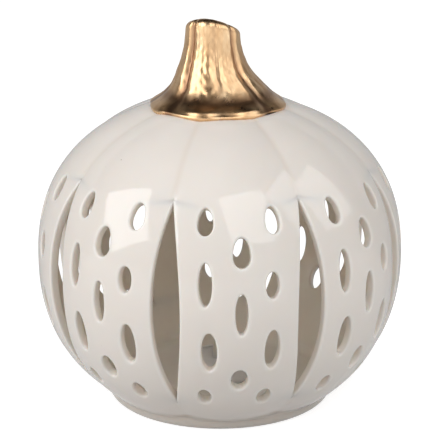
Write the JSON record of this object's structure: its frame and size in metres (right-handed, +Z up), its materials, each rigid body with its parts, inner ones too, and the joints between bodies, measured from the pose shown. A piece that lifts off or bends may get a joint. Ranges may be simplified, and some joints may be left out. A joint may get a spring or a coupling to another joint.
{
  "type": "ceramic pumpkin lantern",
  "caption": "Pierced lobed pumpkin lantern in glazed ceramic with a gilded fluted stem and a removable battery light unit pushed into its floor.",
  "frame": {"origin": "centre of the foot ring, on the surface the lantern stands on", "axes": "+Z up along the body's axis; -Y towards the front, where a lobe's middle faces; +X to the right seen from the front"},
  "size_m": [0.17, 0.1701, 0.181],
  "materials": {
    "glaze": "glossy warm-white glaze on earthenware",
    "gilding": "satin copper-gold lustre on ceramic",
    "case_plastic": "matte moulded plastic",
    "screw_steel": "nickel-plated",
    "silicone": "matte silicone",
    "cell_steel": "brushed",
    "board": "satin solder mask",
    "resistor_body": "matte",
    "contact_metal": "nickel-plated spring steel",
    "led_resin": "clear resin",
    "flame_plastic": "frosted translucent plastic",
    "switch_plastic": "matte"
  },
  "bodies": {
    "lantern": {"pumpkin_shell": "glaze", "stem": "gilding"},
    "light_unit": {"unit_case": "case_plastic", "unit_base": "case_plastic", "case_screws": "screw_steel", "grip_ring": "silicone", "coin_cell": "cell_steel", "circuit_board": "board", "resistor": "resistor_body", "positive_contact": "contact_metal", "negative_contact": "contact_metal", "led": "led_resin", "flame_lens": "flame_plastic", "switch_case": "switch_plastic"},
    "battery_door": {"battery_door": "case_plastic"},
    "door_screw": {"door_screw": "screw_steel"},
    "switch_slider": {"switch_slider": "switch_plastic"}
  },
  "joints": [
    {"name": "light_unit_pull", "type": "slide", "parent": "lantern", "child": "light_unit", "axis": [0, 0, -1], "range_m": [0, 0.045]},
    {"name": "battery_door_hinge", "type": "hinge", "parent": "light_unit", "child": "battery_door", "pos_m": [-0.0121, 0, 0.00175], "axis": [0, 1, 0], "range_deg": [0, 95]},
    {"name": "door_screw_turn", "type": "hinge", "parent": "battery_door", "child": "door_screw", "pos_m": [0.0116, 0, 0.003], "axis": [0, 0, 1], "continuous": true},
    {"name": "switch_slide", "type": "slide", "parent": "light_unit", "child": "switch_slider", "axis": [1, 0, 0], "range_m": [0, 0.002]}
  ]
}
